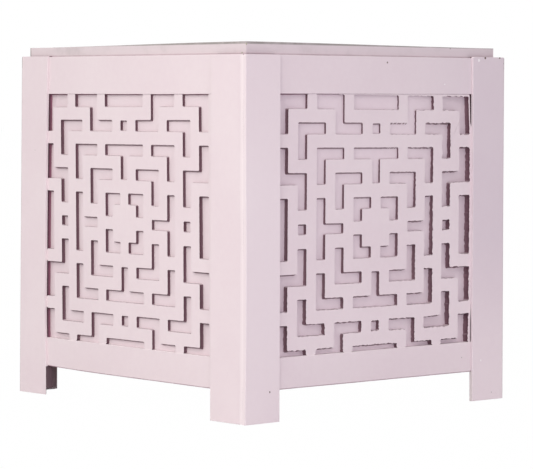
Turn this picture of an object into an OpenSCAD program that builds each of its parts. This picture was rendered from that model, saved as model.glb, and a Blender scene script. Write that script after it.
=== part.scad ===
// Square fretwork planter: a plywood box inside a painted frame of corner posts and rails,
// a pierced fret panel in each of its four sides, and a loose sheet-metal liner inside.
// Millimetres, +Z up, origin on the floor under the middle of the planter.
// The front faces -Y. Each side is drawn as seen from outside, x to the right and y inwards,
// and is then turned to its place.

/* [Overall size] */
// Width across the post boards, the same on all four sides
planter_w = 406.4; // [396:0.1:430]
// Height of the posts and the top rails above the floor
frame_h = 402.2; // [380:0.1:440]
// How far the rim of the box stands above the posts
rim_rise = 12.4; // [4:0.1:30]
// Height of the lower edge of the box above the floor
wall_bottom = 37; // [30:0.1:50]

/* [Corner posts] */
// Thickness of the outer post boards
board_t = 4.8; // [4:0.1:8]
// Thickness of the packers between the post boards and the box
packer_t = 4.7; // [3.5:0.1:8]
// How far each packer stops short of its board's inner edge
packer_setback = 6.6; // [2:0.1:12]
// How far the packers and leg blocks stop above the floor
inner_lift = 2.5; // [0:0.1:6]
// Width of the boards on the front
front_board_w = 50.8; // [44:0.1:60]
// Width of the board at the front end of each side, beside the front boards' edge
side_front_board_w = 47.8; // [40:0.1:56]
// Width of the board at the rear end of each side
side_rear_board_w = 44.3; // [40:0.1:60]
// Width of the boards on the back, between the side boards
back_board_w = 41.3; // [34:0.1:50]
// Thickness of the square leg block inside each foot
leg_block_w = 20; // [14:0.1:26]

/* [Rails] */
// How far the rails lie behind the face of the posts
rail_recess = 2.5; // [0.5:0.1:4]
// Height of the top rails
top_rail_h = 42.8; // [30:0.1:60]
// Height of the bottom rails
bottom_rail_h = 35.2; // [25:0.1:45]
// Height of the bottom rails' lower edge above the floor
bottom_rail_z = 34.9; // [28:0.1:48]

/* [Box] */
// Thickness of the box walls
wall_t = 12; // [9:0.1:18]
// Width and height of the cleats that carry the floor
cleat_w = 16; // [14:0.1:22]
// Thickness of the floor slats
slat_t = 12; // [9:0.1:18]
// Gap between neighbouring floor slats
slat_gap = 8; // [4:0.1:14]
// Number of floor slats, which share the width of the box between them
slat_count = 5; // [3:1:7]
// Gap between the slats' ends, or the outer slats, and the walls
slat_end_gap = 1; // [0.5:0.1:4]

/* [Fret panels] */
// How far the fret panels lie behind the face of the posts
fret_recess = 3.1; // [1:0.1:5]
// Open joint between each panel's right-hand edge and the post
fret_gap = 2.4; // [0.5:0.1:5]
// Border between the pattern and each panel's right-hand edge
fret_border = 4.2; // [3:0.1:9]
// Distance between the lattice lines that the slots follow
fret_pitch = 28; // [26:0.1:29]
// Width of the slots
slot_w = 13.4; // [10:0.1:15]
// Width of the small squares and of the stems of the T-shaped slots
stem_w = 12; // [9:0.1:15]
// How far the outermost slots reach outwards from their lattice line
edge_reach = 9.8; // [6:0.1:11]
// How far the front panel's pattern stops below the top rail
front_fret_drop = 0.3; // [0:0.1:4]
// How far the left panel's pattern runs on above its upper edge, which cuts it off
left_fret_rise = 1.2; // [0:0.1:4]
// Turn of the front panel's pattern, clockwise, in degrees
front_fret_turn = 0.2; // [0:0.05:1]
// Turn of the left panel's pattern, anticlockwise, in degrees
left_fret_turn = 0.45; // [0:0.05:1]

/* [Fasteners] */
// Diameter of the brads that hold the posts and rails
brad_d = 1.4; // [1:0.1:2]
// How far the brads bite into the box walls and leg blocks
brad_bite = 6; // [4:0.1:8]
// Thickness of the filler over the sunk brad heads
filler_t = 1; // [0.5:0.1:2]
// Diameter of the nails at the corners of the box
nail_d = 2; // [1.6:0.1:2.5]
// Diameter of the nail heads
nail_head_d = 4.4; // [3.5:0.1:5]
// Thickness of the nail heads
nail_head_t = 0.8; // [0.5:0.1:1.2]
// Length of the nails
nail_length = 32; // [25:0.1:40]
// Diameter of the screws in the cleats and the floor
screw_d = 4; // [3:0.1:5]
// Diameter of their countersunk heads
screw_head_d = 8; // [6:0.1:9]
// Height of their countersunk heads
screw_head_h = 2.4; // [1.5:0.1:3]
// How far the screws bite into the piece behind
screw_bite = 10; // [6:0.1:11]
// Radial room round brads, nails, screws and rivets
pin_fit = 0.05; // [0.02:0.01:0.2]

/* [Liner] */
// Thickness of the liner's sheet metal
sheet_t = 1; // [0.6:0.1:1.5]
// Room between the liner and the box walls
liner_clear = 4; // [3:0.1:8]
// How far the liner's edge lies below the rim of the box
liner_drop = 30; // [15:0.1:60]
// Running gap between the liner and the floor slats
liner_seat = 0.3; // [0.1:0.1:1]
// Outer radius of the liner's upright corners
liner_corner_r = 8; // [4:0.1:20]
// Height of the folded hem round the liner's edge
hem_h = 10; // [5:0.1:15]

/* [Liner handles] */
// Length of the raised grip
grip_length = 90; // [80:0.1:140]
// Room for the fingers between the grip and the liner
grip_reach = 24; // [20:0.1:35]
// Width of the handle strap
strap_w = 20; // [14:0.1:30]
// Thickness of the handle strap
strap_t = 2; // [1.5:0.1:3]
// Length of each foot of the strap
strap_foot = 26; // [20:0.1:40]
// How far the straps lie below the liner's edge
strap_drop = 20; // [12:0.1:60]
// Diameter of the rivets
rivet_d = 4; // [3:0.1:5]
// Diameter of the rivet heads
rivet_head_d = 7; // [6:0.1:8]
// Thickness of the rivet heads
rivet_head_t = 1.4; // [1:0.1:2]

/* [Hidden] */
$fn = 48;

half_w = planter_w / 2;
stack_t = board_t + packer_t; // from the posts' face to the box wall
rim_z = frame_h + rim_rise;
inner_depth = stack_t + wall_t; // from the posts' face to the inside of the box
inner_half = half_w - inner_depth;
rail_top_z = bottom_rail_z + bottom_rail_h;
opening_top_z = frame_h - top_rail_h;
cleat_top_z = wall_bottom + cleat_w;
floor_z = cleat_top_z + slat_t;
slat_w = (2 * (inner_half - slat_end_gap) - (slat_count - 1) * slat_gap) / slat_count;
slat_step = slat_w + slat_gap;
slat_first_x = -(slat_count - 1) / 2 * slat_step;

// The four sides in turn, and at each its two ends as seen from outside.
SIDES = [0 : 3];
ENDS = [0, 1];
side_name = ["front", "right", "back", "left"];
end_name = [["left", "right"], ["front", "rear"], ["right", "left"], ["rear", "front"]];
// 1 where the neighbouring side covers this end, 0 where this end runs out to the corner
end_covered = [[0, 0], [1, 0], [1, 1], [0, 1]];
board_w = [
    [front_board_w, front_board_w],
    [side_front_board_w, side_rear_board_w],
    [back_board_w, back_board_w],
    [side_rear_board_w, side_front_board_w]
];
function end_sign(end) = end == 0 ? -1 : 1;
// Pattern of each side's fret panel: its turn, and its upper edge above the opening
fret_turn = [-front_fret_turn, 0, 0, left_fret_turn];
fret_lift = [-front_fret_drop, 0, 0, left_fret_rise];
// Distance from a side's middle line to its board's outer and inner edges, and to the packer's
function board_outer(side, end) = half_w - end_covered[side][end] * stack_t;
function board_inner(side, end) = board_outer(side, end) - board_w[side][end];
function packer_inner(side, end) = board_inner(side, end) + packer_setback;
function packer_middle(side, end) = (board_outer(side, end) + packer_inner(side, end)) / 2;
// The opening between a side's posts
function opening_left(side) = -board_inner(side, 0);
function opening_right(side) = board_inner(side, 1);
function opening_middle(side) = (opening_left(side) + opening_right(side)) / 2;

// Brads: three up each post and one in each foot, three along each rail
post_brads_up = 3;
brad_zone_h = frame_h - wall_bottom;
post_brad_z = [for (i = [0 : post_brads_up - 1]) wall_bottom + (i + 0.5) * brad_zone_h / post_brads_up];
foot_brad_x = half_w - stack_t - leg_block_w / 2;
foot_brad_z = wall_bottom / 2;
brad_tip = stack_t + brad_bite;
rail_brad_step = 100;
rail_brad_z = [bottom_rail_z + bottom_rail_h / 2, opening_top_z + top_rail_h / 2];
// Nails: four up each corner of the box, in the middle of the covered wall's thickness
corner_nails_up = 4;
nail_zone_h = rim_z - wall_bottom;
nail_z = [for (i = [0 : corner_nails_up - 1]) wall_bottom + (i + 0.5) * nail_zone_h / corner_nails_up];
nail_x = half_w - stack_t - wall_t / 2;
// Screws: along the cleats between the slats, and one down through each end of each slat
cleat_screw_x = [for (i = [0 : slat_count - 2]) slat_first_x + (i + 0.5) * slat_step];
cleat_screw_z = wall_bottom + cleat_w / 2;
slat_screw_x = [for (i = [0 : slat_count - 1]) slat_first_x + i * slat_step];
slat_screw_y = inner_half - cleat_w / 2;

liner_half = inner_half - liner_clear;
liner_z = floor_z + liner_seat;
liner_top_z = rim_z - liner_drop;
strap_z = liner_top_z - strap_drop - strap_w;
rivet_inset = strap_foot / 2; // a rivet sits in the middle of each foot

// Turns what is drawn for a side to its place round the planter.
module on_side(side) {
    rotate([0, 0, 90 * side]) translate([0, -half_w, 0]) children();
}

// A block between two opposite corners.
module block(low, high) {
    translate(low) cube(high - low);
}

// A piece at one end of a side, from its inner edge out to its outer edge.
module end_block(end, inner, outer, y_range, z_range) {
    mirror([end == 0 ? 1 : 0, 0, 0])
        block([inner, y_range[0], z_range[0]], [outer, y_range[1], z_range[1]]);
}

// A square with rounded corners, centred.
module round_square(half, radius) {
    square([2 * half, 2 * (half - radius)], center = true);
    square([2 * (half - radius), 2 * half], center = true);
    for (x = [-1, 1], y = [-1, 1])
        translate([x * (half - radius), y * (half - radius)]) circle(r = radius);
}

// Brad running inwards from under the filler at the depth given.
module brad(depth, room = 0) {
    translate([0, depth, 0]) rotate([-90, 0, 0])
        cylinder(d = brad_d + 2 * room, h = brad_tip - depth);
}

// Flat-headed nail along -Z with the top of its head at the origin.
module nail(room = 0) {
    translate([0, 0, -nail_length]) cylinder(d = nail_d + 2 * room, h = nail_length);
    translate([0, 0, -nail_head_t]) cylinder(d = nail_head_d + 2 * room, h = nail_head_t);
}

// Countersunk screw along -Z with the top of its head at the origin.
module screw(length, room = 0) {
    translate([0, 0, -length]) cylinder(d = screw_d + 2 * room, h = length);
    translate([0, 0, -screw_head_h])
        cylinder(d1 = screw_d + 2 * room, d2 = screw_head_d + 2 * room, h = screw_head_h);
}

// The fasteners of one side, as solids, or as holes where room is given.
module side_post_brads(side, room = 0) {
    on_side(side) for (end = ENDS) {
        for (z = post_brad_z)
            translate([end_sign(end) * packer_middle(side, end), 0, z]) brad(filler_t, room);
        translate([end_sign(end) * foot_brad_x, 0, foot_brad_z]) brad(filler_t, room);
    }
}

module side_rail_brads(side, room = 0) {
    on_side(side) for (i = [-1 : 1], z = rail_brad_z)
        translate([opening_middle(side) + i * rail_brad_step, 0, z])
            brad(rail_recess + filler_t, room);
}

module side_cleat_screws(side, room = 0) {
    on_side(side) for (x = cleat_screw_x)
        translate([x, inner_depth + cleat_w, cleat_screw_z]) rotate([-90, 0, 0])
            screw(cleat_w + screw_bite, room);
}

module all_corner_nails(room = 0) {
    for (side = SIDES) on_side(side)
        for (end = ENDS) if (end_covered[side][end] == 0) for (z = nail_z)
            translate([end_sign(end) * nail_x, stack_t, z]) rotate([90, 0, 0]) nail(room);
}

module all_floor_screws(room = 0) {
    for (x = slat_screw_x, y = [-1, 1])
        translate([x, y * slat_screw_y, floor_z]) screw(slat_t + screw_bite, room);
}

// Box wall: where a neighbour covers its end, it stops behind that neighbour.
module box_wall(side) {
    reach = [for (end = ENDS) half_w - stack_t - end_covered[side][end] * wall_t];
    color([0.90, 0.84, 0.85]) difference() {
        on_side(side)
            block([-reach[0], stack_t, wall_bottom], [reach[1], inner_depth, rim_z]);
        side_post_brads(side, pin_fit);
        side_rail_brads(side, pin_fit);
        side_cleat_screws(side, pin_fit);
        all_corner_nails(pin_fit);
    }
}

// Cleat along the foot of a wall; those at the sides fit between the front and back ones.
module floor_cleat(side) {
    reach = side % 2 == 0 ? inner_half : inner_half - cleat_w;
    color([0.78, 0.66, 0.48]) difference() {
        on_side(side) block([-reach, inner_depth, wall_bottom],
                            [reach, inner_depth + cleat_w, cleat_top_z]);
        side_cleat_screws(side, pin_fit);
        all_floor_screws(pin_fit);
    }
}

// Floor slat, from front to back on the cleats.
module floor_slat(index) {
    x = slat_screw_x[index - 1];
    reach_y = inner_half - slat_end_gap;
    color([0.80, 0.69, 0.52]) difference() {
        block([x - slat_w / 2, -reach_y, cleat_top_z], [x + slat_w / 2, reach_y, floor_z]);
        all_floor_screws(pin_fit);
    }
}

// Square block that stiffens a foot, under the corner of the box.
module leg_block(side) {
    outer = half_w - stack_t;
    inner = outer - leg_block_w;
    color([0.48, 0.42, 0.34]) difference() {
        on_side(side) end_block(0, inner, outer, [stack_t, stack_t + leg_block_w],
                                [inner_lift, wall_bottom]);
        for (s = SIDES) side_post_brads(s, pin_fit);
    }
}

// Outer board of a corner post, from the floor to the top of the frame.
module post_board(side, end) {
    color([0.91, 0.85, 0.87]) difference() {
        on_side(side) end_block(end, board_inner(side, end), board_outer(side, end),
                                [0, board_t], [0, frame_h]);
        side_post_brads(side, pin_fit);
    }
}

// Packer between a post board and the box wall.
module post_packer(side, end) {
    color([0.86, 0.79, 0.81]) difference() {
        on_side(side) end_block(end, packer_inner(side, end), board_outer(side, end),
                                [board_t, stack_t], [inner_lift, frame_h]);
        side_post_brads(side, pin_fit);
    }
}

// Rail between the posts of a side.
module rail(side, z_low, z_high) {
    difference() {
        on_side(side) block([opening_left(side), rail_recess, z_low],
                            [opening_right(side), stack_t, z_high]);
        side_rail_brads(side, pin_fit);
    }
}

module top_rail(side) {
    color([0.91, 0.85, 0.87]) rail(side, opening_top_z, frame_h);
}

module bottom_rail(side) {
    color([0.91, 0.85, 0.87]) rail(side, bottom_rail_z, rail_top_z);
}

// Fret pattern. Its slots follow a lattice of eleven columns and rows, counted from the upper
// left, and each slot is a chain of lattice points. The first list is one quarter of the
// pattern; the second holds the slots on the two middle lines.
lattice_count = 11;
lattice_middle = (lattice_count + 1) / 2;
quarter_slots = [
    [[2, 1], [1, 1], [1, 2]],
    [[3, 1], [4, 1], [4, 2], [5, 2]],
    [[3, 2], [2, 2], [2, 3]],
    [[1, 3], [1, 4], [2, 4], [2, 5]],
    [[4, 3], [3, 3], [3, 4]],
    [[5, 4], [4, 4], [4, 5]],
    [[5.5, 5], [5, 5], [5, 5.5]]
];
middle_bars = [[[5, 1], [7, 1]], [[5, 3], [7, 3]]];
middle_stems = [[[6, 2], [6, 2]], [[6, 3], [6, 4]]];

// How far a slot reaches past a lattice point, outwards at the edge of the pattern.
function reach_before(i, half) = i == 1 ? edge_reach : half;
function reach_after(i, half) = i == lattice_count ? edge_reach : half;

// The straight part of a slot between two lattice points, with square ends.
module slot_part(a, b, width) {
    half = width / 2;
    left = min(a[0], b[0]);
    right = max(a[0], b[0]);
    upper = min(a[1], b[1]);
    lower = max(a[1], b[1]);
    x0 = (left - lattice_middle) * fret_pitch - reach_before(left, half);
    x1 = (right - lattice_middle) * fret_pitch + reach_after(right, half);
    y0 = (lattice_middle - lower) * fret_pitch - reach_after(lower, half);
    y1 = (lattice_middle - upper) * fret_pitch + reach_before(upper, half);
    translate([x0, y0]) square([x1 - x0, y1 - y0]);
}

module slot_chain(points, width) {
    for (i = [1 : len(points) - 1]) slot_part(points[i - 1], points[i], width);
}

module fret_slots() {
    for (flip_x = [0, 1], flip_y = [0, 1]) mirror([flip_x, 0]) mirror([0, flip_y])
        for (chain = quarter_slots) slot_chain(chain, slot_w);
    for (turn = [0 : 90 : 270]) rotate(turn) {
        for (chain = middle_bars) slot_chain(chain, slot_w);
        for (chain = middle_stems) slot_chain(chain, stem_w);
    }
}

// Fret panel: trimmed to its opening, tight to the left-hand post and the rails.
module fret_panel(side) {
    left = opening_left(side);
    right = opening_right(side) - fret_gap;
    pattern_half = (lattice_count - 1) / 2 * fret_pitch + edge_reach;
    pattern_x = right - fret_border - pattern_half;
    pattern_z = opening_top_z + fret_lift[side] - pattern_half;
    color([0.92, 0.87, 0.88]) on_side(side)
        translate([0, stack_t, 0]) rotate([90, 0, 0]) linear_extrude(stack_t - fret_recess)
            difference() {
                translate([left, rail_top_z]) square([right - left, opening_top_z - rail_top_z]);
                translate([pattern_x, pattern_z]) rotate(fret_turn[side]) fret_slots();
            }
}

module post_brads() {
    color([0.6, 0.6, 0.62]) for (side = SIDES) side_post_brads(side);
}

module rail_brads() {
    color([0.6, 0.6, 0.62]) for (side = SIDES) side_rail_brads(side);
}

module corner_nails() {
    color([0.6, 0.6, 0.62]) all_corner_nails();
}

module cleat_screws() {
    color([0.72, 0.70, 0.62]) for (side = SIDES) side_cleat_screws(side);
}

module floor_screws() {
    color([0.72, 0.70, 0.62]) all_floor_screws();
}

// Rivets through the strap feet and the liner wall, drawn for the right-hand handle.
module handle_rivets(room = 0) {
    inside = liner_half - sheet_t - strap_t;
    for (end = [-1, 1])
        translate([inside, end * (grip_length / 2 + rivet_inset), strap_z + strap_w / 2])
            rotate([0, 90, 0]) {
                cylinder(d = rivet_d + 2 * room, h = sheet_t + strap_t);
                if (room == 0) {
                    translate([0, 0, -rivet_head_t]) cylinder(d = rivet_head_d, h = rivet_head_t);
                    translate([0, 0, sheet_t + strap_t])
                        cylinder(d = rivet_head_d, h = rivet_head_t);
                }
            }
}

// Open sheet-metal box with a hem folded outwards round its edge.
module liner_pan() {
    color([0.70, 0.72, 0.74]) difference() {
        union() {
            translate([0, 0, liner_z]) linear_extrude(liner_top_z - liner_z)
                round_square(liner_half, liner_corner_r);
            translate([0, 0, liner_top_z - hem_h]) linear_extrude(hem_h)
                round_square(liner_half + sheet_t, liner_corner_r + sheet_t);
        }
        translate([0, 0, liner_z + sheet_t]) linear_extrude(liner_top_z - liner_z)
            round_square(liner_half - sheet_t, liner_corner_r - sheet_t);
        handle_rivets(pin_fit);
        mirror([1, 0, 0]) handle_rivets(pin_fit);
    }
}

// Bent strap handle, drawn for the right-hand side.
module strap_handle() {
    wall_x = liner_half - sheet_t;
    foot_x = wall_x - strap_t;
    grip_x = wall_x - grip_reach;
    foot_y = grip_length / 2 + strap_foot;
    grip_y = grip_length / 2;
    difference() {
        translate([0, 0, strap_z]) linear_extrude(strap_w) {
            for (end = [-1, 1]) {
                translate([foot_x, end > 0 ? grip_y : -foot_y]) square([strap_t, strap_foot]);
                translate([grip_x - strap_t, end > 0 ? grip_y - strap_t : -grip_y])
                    square([wall_x - grip_x + strap_t, strap_t]);
            }
            translate([grip_x - strap_t, -grip_y]) square([strap_t, grip_length]);
        }
        handle_rivets(pin_fit);
    }
}

module liner_handle_left() {
    color([0.66, 0.68, 0.70]) mirror([1, 0, 0]) strap_handle();
}

module liner_handle_right() {
    color([0.66, 0.68, 0.70]) strap_handle();
}

module liner_rivets() {
    color([0.62, 0.64, 0.66]) {
        handle_rivets();
        mirror([1, 0, 0]) handle_rivets();
    }
}

for (s = SIDES) {
    box_wall(s);
    floor_cleat(s);
    leg_block(s);
    top_rail(s);
    bottom_rail(s);
    fret_panel(s);
}
for (s = SIDES, e = ENDS) {
    post_board(s, e);
    post_packer(s, e);
}
for (i = [1 : slat_count]) {
    floor_slat(i);
}
post_brads();
rail_brads();
corner_nails();
cleat_screws();
floor_screws();
liner_pan();
liner_handle_left();
liner_handle_right();
liner_rivets();
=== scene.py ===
import math

import bmesh
import bpy
from mathutils import Matrix, Vector


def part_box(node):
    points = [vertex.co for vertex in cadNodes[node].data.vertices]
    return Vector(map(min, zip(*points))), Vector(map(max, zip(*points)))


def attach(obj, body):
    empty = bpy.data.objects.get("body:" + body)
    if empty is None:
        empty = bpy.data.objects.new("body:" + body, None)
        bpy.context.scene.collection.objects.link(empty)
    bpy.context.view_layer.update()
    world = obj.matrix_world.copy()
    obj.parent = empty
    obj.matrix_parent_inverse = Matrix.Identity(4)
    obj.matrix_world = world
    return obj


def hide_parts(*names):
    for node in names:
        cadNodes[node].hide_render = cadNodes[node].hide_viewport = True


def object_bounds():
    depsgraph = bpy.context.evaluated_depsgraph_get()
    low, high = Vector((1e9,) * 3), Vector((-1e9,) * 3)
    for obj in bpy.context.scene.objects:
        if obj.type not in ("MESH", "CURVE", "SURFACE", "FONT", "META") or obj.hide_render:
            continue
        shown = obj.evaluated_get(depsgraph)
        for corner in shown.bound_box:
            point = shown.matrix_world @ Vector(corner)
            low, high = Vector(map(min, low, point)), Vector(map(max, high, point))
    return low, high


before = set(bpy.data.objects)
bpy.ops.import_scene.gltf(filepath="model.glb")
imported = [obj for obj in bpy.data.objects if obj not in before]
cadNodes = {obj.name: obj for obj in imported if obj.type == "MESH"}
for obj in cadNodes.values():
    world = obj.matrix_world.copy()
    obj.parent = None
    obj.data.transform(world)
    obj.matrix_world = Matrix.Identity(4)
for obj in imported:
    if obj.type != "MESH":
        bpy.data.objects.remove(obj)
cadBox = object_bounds()
print("frame loaded:", len(cadNodes), "nodes")

mm = 0.001
sideNames = ["front", "right", "back", "left"]
halfWidth = cadBox[1].x
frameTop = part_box("post_board_front_left")[1].z  # top of the posts and rails
rimTop = cadBox[1].z
rimFoot = frameTop - 6 * mm  # the walls' outer faces have the rim's look from here up
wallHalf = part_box("box_wall_front")[1].x  # half the width of the plain box
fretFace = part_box("fret_panel_front")[0].y + halfWidth  # how far the frets lie behind the posts' face
wallFace = halfWidth - wallHalf  # and the walls
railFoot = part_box("bottom_rail_front")[0].z


def deselectAll():
    bpy.ops.object.select_all(action="DESELECT")


def makeActive(piece):
    deselectAll()
    piece.select_set(True)
    bpy.context.view_layer.objects.active = piece


def startEdit(piece, mode="EDGE"):
    makeActive(piece)
    bpy.ops.object.mode_set(mode="EDIT")
    bpy.ops.mesh.select_mode(type=mode)


def endEdit():
    bpy.ops.object.mode_set(mode="OBJECT")


def pick(piece, kind, wanted):  # edges or faces, in edit mode; returns how many it picked
    bpy.ops.mesh.select_mode(type=kind)
    bpy.ops.mesh.select_all(action="DESELECT")
    shape = bmesh.from_edit_mesh(piece.data)
    picked = [part for part in (shape.edges if kind == "EDGE" else shape.faces) if wanted(part)]
    for part in picked:
        part.select_set(True)
    bmesh.update_edit_mesh(piece.data)
    return len(picked)


def cutAcross(axis, places):  # cuts everything straight through at each place
    normal = Vector((0, 0, 0))
    normal[axis] = 1
    for place in places:
        bpy.ops.mesh.select_all(action="SELECT")
        bpy.ops.mesh.bisect(plane_co=normal * place, plane_no=normal)


def evenPlaces(low, high, step):
    count = max(1, round((high - low) / step))
    return [low + (high - low) * i / count for i in range(1, count)]


def addBlock(name, low, high):
    deselectAll()
    bpy.ops.mesh.primitive_cube_add(size=1, location=(low + high) / 2)
    block = bpy.context.object
    block.name = name
    block.data.name = name
    block.scale = high - low
    bpy.ops.object.transform_apply(location=True, rotation=True, scale=True)
    return block


def copyNode(node, name):  # a CAD node's shape as a clean mesh of its own
    copy = bpy.data.objects.new(name, cadNodes[node].data.copy())
    copy.data.name = name
    copy.data.materials.clear()
    bpy.context.scene.collection.objects.link(copy)
    startEdit(copy, "VERT")
    bpy.ops.mesh.select_all(action="SELECT")
    bpy.ops.mesh.remove_doubles(threshold=0.02 * mm)
    bpy.ops.mesh.dissolve_limited(angle_limit=math.radians(0.2))
    endEdit()
    return copy


def applyModifier(piece, kind, **values):
    makeActive(piece)
    modifier = piece.modifiers.new(kind.lower(), kind)
    for key, value in values.items():
        setattr(modifier, key, value)
    bpy.ops.object.modifier_apply(modifier=modifier.name)


def markCorners(piece, name, valueOf):  # keeps a value for each corner of each face
    mesh = piece.data
    values = [0.0] * len(mesh.loops)
    for face in mesh.polygons:
        for corner in face.loop_indices:
            values[corner] = valueOf(face, mesh.vertices[mesh.loops[corner].vertex_index].co)
    mesh.attributes.new(name, "FLOAT", "CORNER").data.foreach_set("value", values)


def isSharp(edge, angle=50):
    return len(edge.link_faces) == 2 and edge.calc_face_angle() > math.radians(angle)


def roundArrises(piece, material, width, steps, weightOf=None):  # bevels the sharp edges and marks them
    piece.data.materials.append(material)
    piece.data.materials.append(material)  # the second slot only tells the new faces apart
    shape = bmesh.new()
    shape.from_mesh(piece.data)
    weights = [(weightOf(edge) if weightOf else 1.0) if isSharp(edge) else 0.0 for edge in shape.edges]
    shape.free()
    piece.data.attributes.new("bevel_weight_edge", "FLOAT", "EDGE").data.foreach_set("value", weights)
    applyModifier(piece, "BEVEL", width=width, segments=steps, limit_method="WEIGHT",
                  use_clamp_overlap=True, material=1)
    if "bevel_weight_edge" in piece.data.attributes:
        piece.data.attributes.remove(piece.data.attributes["bevel_weight_edge"])
    markCorners(piece, "arris", lambda face, place: float(face.material_index))
    for face in piece.data.polygons:
        face.material_index = 0
    piece.data.materials.pop(index=1)


def settleNormals(piece, angle=35):
    makeActive(piece)
    bpy.ops.object.shade_smooth_by_angle(angle=math.radians(angle))
    applyModifier(piece, "WEIGHTED_NORMAL", weight=100, keep_sharp=True)


def smoothStep(value, low, high):
    t = min(1, max(0, (value - low) / (high - low)))
    return t * t * (3 - 2 * t)


def ramp(value, low, high):
    return min(1, max(0, (value - low) / (high - low)))


def valueAt(points, height):  # straight lines between points of (height, value)
    for (lowHeight, lowValue), (highHeight, highValue) in zip(points, points[1:]):
        if height < highHeight:
            return lowValue + (highValue - lowValue) * ramp(height, lowHeight, highHeight)
    return points[-1][1]


def turnOf(side):
    return Matrix.Rotation(math.radians(90 * side), 3, "Z")


def outwardOf(side):
    return turnOf(side) @ Vector((0, -1, 0))


def toSide(side, point):  # x to the right, y inwards from the posts' face, z up
    return turnOf(-side) @ point + Vector((0, halfWidth, 0))


def toWorld(side, point):
    return turnOf(side) @ (Vector(point) - Vector((0, halfWidth, 0)))


def towardCorner(side, face):  # positive where a face looks to the corner, negative towards the opening
    turn = turnOf(-side)
    return (turn @ face.normal).x * (turn @ face.center).x


def sideBox(side, node):  # a node's box in its side's own frame
    low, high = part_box(node)
    a, b = toSide(side, low), toSide(side, high)
    return Vector(map(min, a, b)), Vector(map(max, a, b))


def finishPiece(piece, body, node):
    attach(piece, body)
    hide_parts(node)


def feed(tree, socket, value):  # a link, or a fixed value
    if isinstance(value, bpy.types.NodeSocket):
        tree.links.new(value, socket)
    elif value is not None:
        socket.default_value = value


def addNode(tree, kind, inputs=None, **settings):
    node = tree.nodes.new("ShaderNode" + kind)
    for key, value in settings.items():
        setattr(node, key, value)
    for socket, value in (inputs or {}).items():
        feed(tree, node.inputs[socket], value)
    return node


def noise(tree, vector, scale, detail=2.0, roughness=0.5):
    inputs = {"Vector": vector, "Scale": scale, "Detail": detail, "Roughness": roughness}
    return addNode(tree, "TexNoise", inputs).outputs["Fac"]


def blendColour(tree, share, a, b):
    return addNode(tree, "Mix", {0: share, 6: a, 7: b}, data_type="RGBA").outputs[2]


def calc(tree, operation, a, b=None, c=None):
    return addNode(tree, "Math", {0: a, 1: b, 2: c}, operation=operation).outputs[0]


def times(tree, *factors):
    product = factors[0]
    for factor in factors[1:]:
        product = calc(tree, "MULTIPLY", product, factor)
    return product


def remap(tree, value, low, high, outLow=0.0, outHigh=1.0):
    inputs = {"Value": value, "From Min": low, "From Max": high, "To Min": outLow, "To Max": outHigh}
    return addNode(tree, "MapRange", inputs, interpolation_type="SMOOTHSTEP").outputs[0]


def stretch(tree, vector, scale):
    return addNode(tree, "Mapping", {"Vector": vector, "Scale": scale}).outputs[0]


def newGroup(name, inputs, outputs):  # sockets are given as name: (kind, default)
    tree = bpy.data.node_groups.new(name, "ShaderNodeTree")
    for socketName, (kind, default) in inputs.items():
        socket = tree.interface.new_socket(name=socketName, in_out="INPUT", socket_type=kind)
        if default is not None:
            socket.default_value = default
    for socketName, kind in outputs.items():
        tree.interface.new_socket(name=socketName, in_out="OUTPUT", socket_type=kind)
    return tree, tree.nodes.new("NodeGroupInput").outputs, tree.nodes.new("NodeGroupOutput").inputs


def useGroup(tree, group, **values):
    return addNode(tree, "Group", values, node_tree=group).outputs


def newMaterial(name):
    material = bpy.data.materials.new(name)
    material.use_nodes = True
    tree = material.node_tree
    tree.nodes.clear()
    shader = addNode(tree, "BsdfPrincipled")
    addNode(tree, "OutputMaterial", {"Surface": shader.outputs[0]})
    return material, tree, shader, addNode(tree, "TexCoord").outputs["Object"]


def wireShader(tree, shader, colour, roughness, height, relief, strength):
    bump = addNode(tree, "Bump", {"Height": height, "Distance": relief, "Strength": strength})
    for name, value in (("Base Color", colour), ("Roughness", roughness), ("Normal", bump.outputs[0])):
        feed(tree, shader.inputs[name], value)


def attribute(tree, name):
    return addNode(tree, "Attribute", attribute_name=name).outputs["Fac"]


colourSocket, valueSocket, vectorSocket = "NodeSocketColor", "NodeSocketFloat", "NodeSocketVector"


photoView = {
    "place": (-2.0485, -2.3296, 0.3560),
    "lens": 176.2,  # mm, on a 36 mm wide sensor
    "yaw": 41.432,  # degrees, from +Y towards +X
    "pitch": -3.016,
    "roll": 0.228,
}

cameraData = bpy.data.cameras.new("photoCamera")
cameraData.lens = photoView["lens"]
cameraData.sensor_width = 36
cameraData.clip_end = 50
camera = bpy.data.objects.new("photoCamera", cameraData)
camera.matrix_world = (
    Matrix.Translation(photoView["place"])
    @ Matrix.Rotation(math.radians(-photoView["yaw"]), 4, "Z")
    @ Matrix.Rotation(math.radians(90 + photoView["pitch"]), 4, "X")
    @ Matrix.Rotation(math.radians(photoView["roll"]), 4, "Z")
)
bpy.context.scene.collection.objects.link(camera)
bpy.context.scene.camera = camera

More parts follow.
